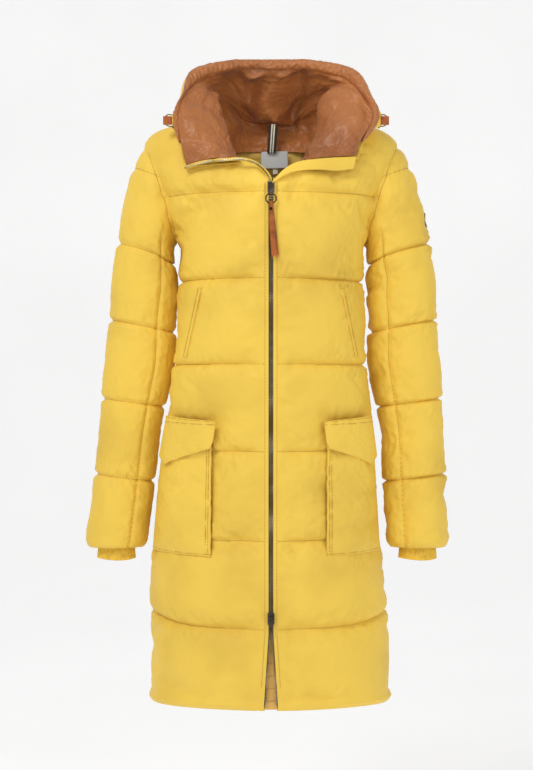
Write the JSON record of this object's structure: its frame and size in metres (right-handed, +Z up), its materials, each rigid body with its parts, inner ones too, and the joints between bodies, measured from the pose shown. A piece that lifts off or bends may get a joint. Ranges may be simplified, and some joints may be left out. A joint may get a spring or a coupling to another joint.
{
  "type": "quilted hooded coat",
  "caption": "Long quilted winter coat with lined hood, two-way zip, flapped patch pockets and rib cuffs, on its hanger loop.",
  "frame": {"origin": "inner top of the hanger loop at the back of the neck, where a hook carries the coat", "axes": "-Y is the coat's front, +X is the wearer's left, +Z is up"},
  "size_m": [0.58, 0.32, 1.023],
  "materials": {
    "shell": "matte quilted nylon",
    "wadding": "soft fibre fill",
    "lining": "satin lining",
    "inner_lining": "smooth nylon lining",
    "rib": "ribbed knit",
    "cord": "braided cord",
    "leather": "smooth strap leather",
    "dark_metal": "gunmetal plating",
    "old_brass": "darkened brass",
    "tape": "woven tape",
    "label": "woven blank label",
    "badge": "matte"
  },
  "bodies": {
    "coat": {"back_shell": "shell", "front_shell_right": "shell", "front_shell_left": "shell", "lapel_shell_right": "shell", "lapel_shell_left": "shell", "patch_pocket_right": "shell", "patch_pocket_left": "shell", "hand_pocket_welt_right": "shell", "hand_pocket_welt_left": "shell", "zip_guard": "shell", "back_wadding": "wadding", "front_wadding_right": "wadding", "front_wadding_left": "wadding", "lapel_wadding_right": "wadding", "lapel_wadding_left": "wadding", "lapel_lining_right": "lining", "lapel_lining_left": "lining", "back_lining": "inner_lining", "front_lining_right": "inner_lining", "front_lining_left": "inner_lining", "neck_facing": "inner_lining", "hand_pocket_bag_right": "inner_lining", "hand_pocket_bag_left": "inner_lining", "side_cord_right": "cord", "side_cord_left": "cord", "cord_toggle_right": "leather", "cord_toggle_left": "leather", "zip_teeth_right": "dark_metal", "zip_teeth_left": "dark_metal", "insertion_pin_right": "dark_metal", "insertion_pin_left": "dark_metal", "cord_eyelets": "dark_metal", "zip_tape_right": "tape", "zip_tape_left": "tape", "hanger_loop": "tape", "blank_label": "label", "size_tab": "label"},
    "right_sleeve": {"sleeve_shell_right": "shell", "sleeve_wadding_right": "wadding", "sleeve_lining_right": "inner_lining", "rib_cuff_right": "rib"},
    "left_sleeve": {"sleeve_shell_left": "shell", "sleeve_wadding_left": "wadding", "sleeve_lining_left": "inner_lining", "rib_cuff_left": "rib", "sleeve_badge": "badge"},
    "hood": {"hood_shell": "shell", "hood_wadding": "wadding", "hood_lining": "lining", "hood_brim_tunnel": "lining", "hood_drawcord": "cord"},
    "right_flap": {"pocket_flap_right": "shell"},
    "left_flap": {"pocket_flap_left": "shell"},
    "top_slider": {"top_slider": "dark_metal"},
    "top_tab": {"top_pull_tab": "dark_metal"},
    "pull_ring": {"pull_ring": "old_brass"},
    "leather_pull": {"leather_pull": "leather", "pull_rivet": "old_brass"},
    "bottom_slider": {"bottom_slider": "dark_metal"},
    "bottom_tab": {"bottom_pull_tab": "dark_metal"}
  },
  "joints": [
    {"name": "right_sleeve_swing", "type": "hinge", "parent": "coat", "child": "right_sleeve", "pos_m": [-0.193, -0.052, -0.03], "axis": [0, 1, 0], "range_deg": [0, 60]},
    {"name": "left_sleeve_swing", "type": "hinge", "parent": "coat", "child": "left_sleeve", "pos_m": [0.193, -0.052, -0.03], "axis": [0, -1, 0], "range_deg": [0, 60]},
    {"name": "hood_fold", "type": "hinge", "parent": "coat", "child": "hood", "pos_m": [0, 0.037, 0.01], "axis": [-1, 0, 0], "range_deg": [0, 22]},
    {"name": "right_flap_lift", "type": "hinge", "parent": "coat", "child": "right_flap", "pos_m": [-0.143, -0.1535, -0.471], "axis": [-0.6996, 0.7146, 0], "range_deg": [0, 95]},
    {"name": "left_flap_lift", "type": "hinge", "parent": "coat", "child": "left_flap", "pos_m": [0.143, -0.1535, -0.471], "axis": [-0.6996, -0.7146, 0], "range_deg": [0, 95]},
    {"name": "top_slider_run", "type": "slide", "parent": "coat", "child": "top_slider", "axis": [0, 0, -1], "range_m": [0, 0.4]},
    {"name": "top_tab_swing", "type": "hinge", "parent": "top_slider", "child": "top_tab", "pos_m": [0, -0.1969, -0.1235], "axis": [-1, 0, 0], "range_deg": [0, 100]},
    {"name": "ring_swing", "type": "hinge", "parent": "top_tab", "child": "pull_ring", "pos_m": [0, -0.1969, -0.1355], "axis": [-1, 0, 0], "range_deg": [0, 35]},
    {"name": "strap_swing", "type": "hinge", "parent": "pull_ring", "child": "leather_pull", "pos_m": [0, -0.1969, -0.1509], "axis": [-1, 0, 0], "range_deg": [0, 30]},
    {"name": "bottom_slider_run", "type": "slide", "parent": "coat", "child": "bottom_slider", "axis": [0, 0, 1], "range_m": [0, 0.12]},
    {"name": "bottom_tab_swing", "type": "hinge", "parent": "bottom_slider", "child": "bottom_tab", "pos_m": [0, -0.1969, -0.776], "axis": [-1, 0, 0], "range_deg": [0, 150]}
  ]
}
